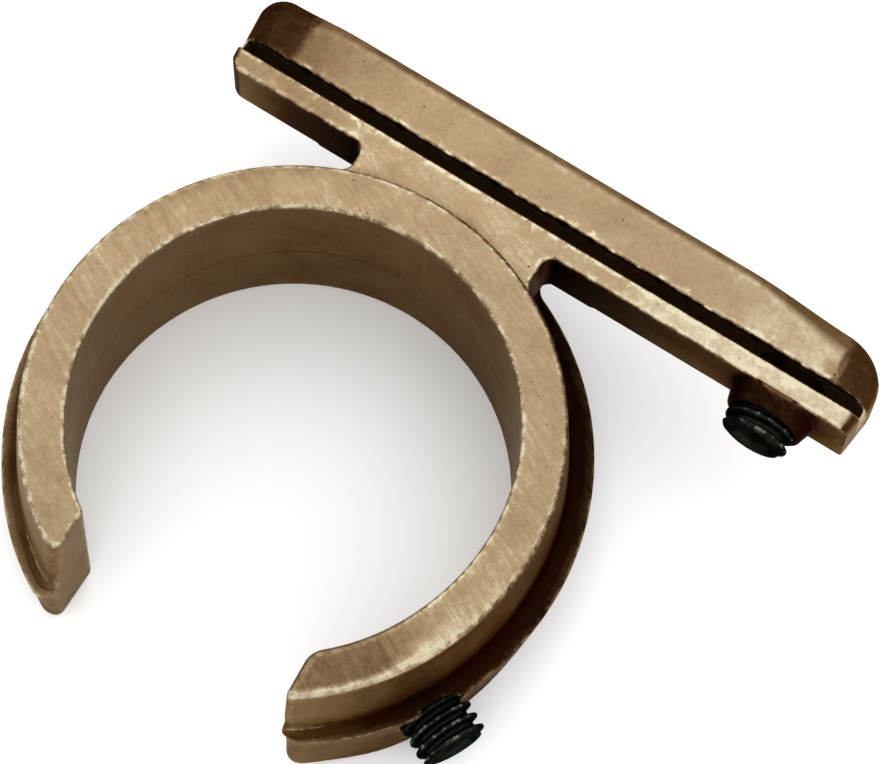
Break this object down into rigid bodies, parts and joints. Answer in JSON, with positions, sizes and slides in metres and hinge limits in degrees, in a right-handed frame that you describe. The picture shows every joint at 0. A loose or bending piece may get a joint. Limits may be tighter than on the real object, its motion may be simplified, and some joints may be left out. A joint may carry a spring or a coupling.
{
  "type": "open ring rod adapter",
  "caption": "Open C ring that clamps a round rod, joined by a web to a straight slotted rail, with a hex socket set screw in the ring and another in the rail.",
  "frame": {"origin": "on the bore axis, in the ring's back face", "axes": "+Z along the bore axis, out of the front face that the rail's slot opens in; +X along the rail towards its long end; +Y from the ring to the rail"},
  "size_m": [0.0412, 0.034, 0.0124],
  "materials": {
    "antique_brass": "burnished antique brass, brushed bright on the front faces, dark brown in the recesses",
    "black_oxide_steel": "black oxide, slightly oily"
  },
  "bodies": {
    "casting": {"ring_adapter": "antique_brass"},
    "rod_screw": {"rod_screw": "black_oxide_steel"},
    "rail_screw": {"rail_screw": "black_oxide_steel"}
  },
  "joints": [
    {"name": "rod_screw_advance", "type": "slide", "parent": "casting", "child": "rod_screw", "axis": [-0.8829, 0.4695, 0], "range_m": [-0.002, 0.002]},
    {"name": "rail_screw_advance", "type": "slide", "parent": "casting", "child": "rail_screw", "axis": [0, 1, 0], "range_m": [-0.001, 0.00135]}
  ]
}
